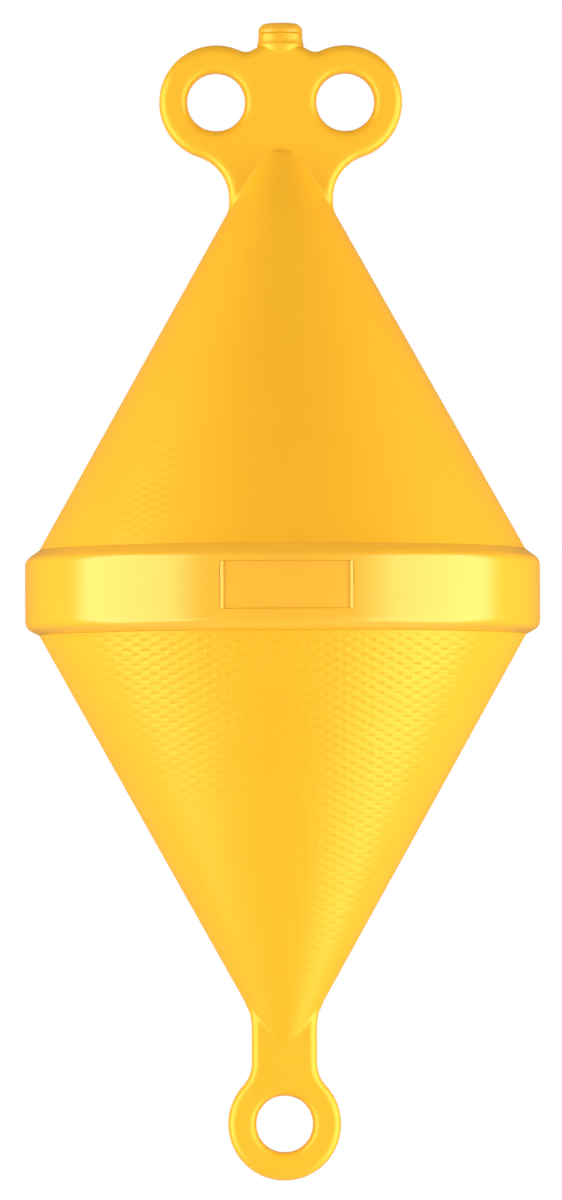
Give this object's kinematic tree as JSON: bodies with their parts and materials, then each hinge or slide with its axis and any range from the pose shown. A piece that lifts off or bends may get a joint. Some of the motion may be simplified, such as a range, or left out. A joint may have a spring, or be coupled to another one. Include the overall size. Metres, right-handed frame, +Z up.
{
  "type": "biconical mooring buoy",
  "caption": "Double-cone mooring float with a smooth waist band, flat eye lugs at top and bottom for rope, chain or shackles, and a plugged filler neck on top.",
  "frame": {"origin": "on the buoy's axis at the middle height of the waist band, which is the nominal waterline", "axes": "+Z up along the axis, X across both lugs, name panel on the -Y side"},
  "size_m": [0.32, 0.32, 0.7195],
  "materials": {
    "textured_shell": "moulded polyethylene with a fine staggered scale relief",
    "smooth_shell": "smooth moulded polyethylene, semi-gloss",
    "lug": "smooth moulded polyethylene, satin",
    "plug": "smooth moulded polyethylene, satin"
  },
  "bodies": {
    "buoy": {"upper_cone": "textured_shell", "lower_cone": "textured_shell", "waist_band": "smooth_shell", "name_panel": "smooth_shell", "top_eye_plate": "lug", "bottom_eye": "lug", "filler_neck": "lug"},
    "plug": {"filler_plug": "plug"}
  },
  "joints": [
    {"name": "plug_lift", "type": "slide", "parent": "buoy", "child": "plug", "axis": [0, 0, 1], "range_m": [0, 0.02]}
  ]
}
